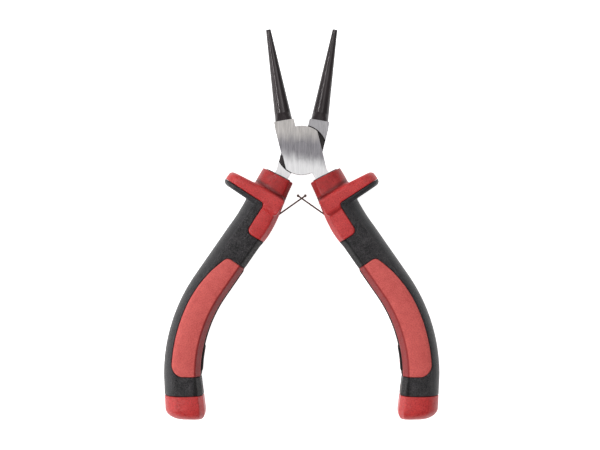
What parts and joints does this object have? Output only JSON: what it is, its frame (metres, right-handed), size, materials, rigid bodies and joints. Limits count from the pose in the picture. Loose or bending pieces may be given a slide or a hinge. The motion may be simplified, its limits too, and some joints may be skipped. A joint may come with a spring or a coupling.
{
  "type": "round nose pliers",
  "caption": "Small round nose pliers with a lap joint, tapered round noses, crossed leaf springs and two-colour moulded handles with thumb guards",
  "frame": {"origin": "on the pivot axis, in the ground rear face of the joint", "axes": "+Y towards the nose tips along the line of symmetry, +Z out of the front face along the pivot axis, +X to the right seen from the front"},
  "size_m": [0.0826, 0.1167, 0.013],
  "materials": {
    "ground_steel": "ground joint faces, black oxide on the noses and recesses",
    "rivet_steel": "riveted over and ground flush",
    "spring_steel": "tempered dark brown, lightly oiled",
    "black_grip": "leather-grained front and rear, smooth satin back",
    "red_collar": "satin moulded",
    "red_inlay": "soft matte, finely textured"
  },
  "bodies": {
    "rear_body": {"rear_half": "ground_steel", "pivot_rivet": "rivet_steel", "left_leaf_spring": "spring_steel", "left_spring_rivet": "spring_steel", "left_grip": "black_grip", "left_collar": "red_collar", "left_end_cap": "red_collar", "left_front_inlay": "red_inlay", "left_rear_inlay": "red_inlay"},
    "front_body": {"front_half": "ground_steel", "right_leaf_spring": "spring_steel", "right_spring_rivet": "spring_steel", "right_grip": "black_grip", "right_collar": "red_collar", "right_end_cap": "red_collar", "right_front_inlay": "red_inlay", "right_rear_inlay": "red_inlay"}
  },
  "joints": [
    {"name": "pivot", "type": "hinge", "parent": "rear_body", "child": "front_body", "pos_m": [0, 0, 0.0035], "axis": [0, 0, -1], "range_deg": [0, 28], "stiffness_Nm_per_rad": 0.4, "springref_deg": -5.73, "deforming": ["left_leaf_spring", "right_leaf_spring"]}
  ]
}
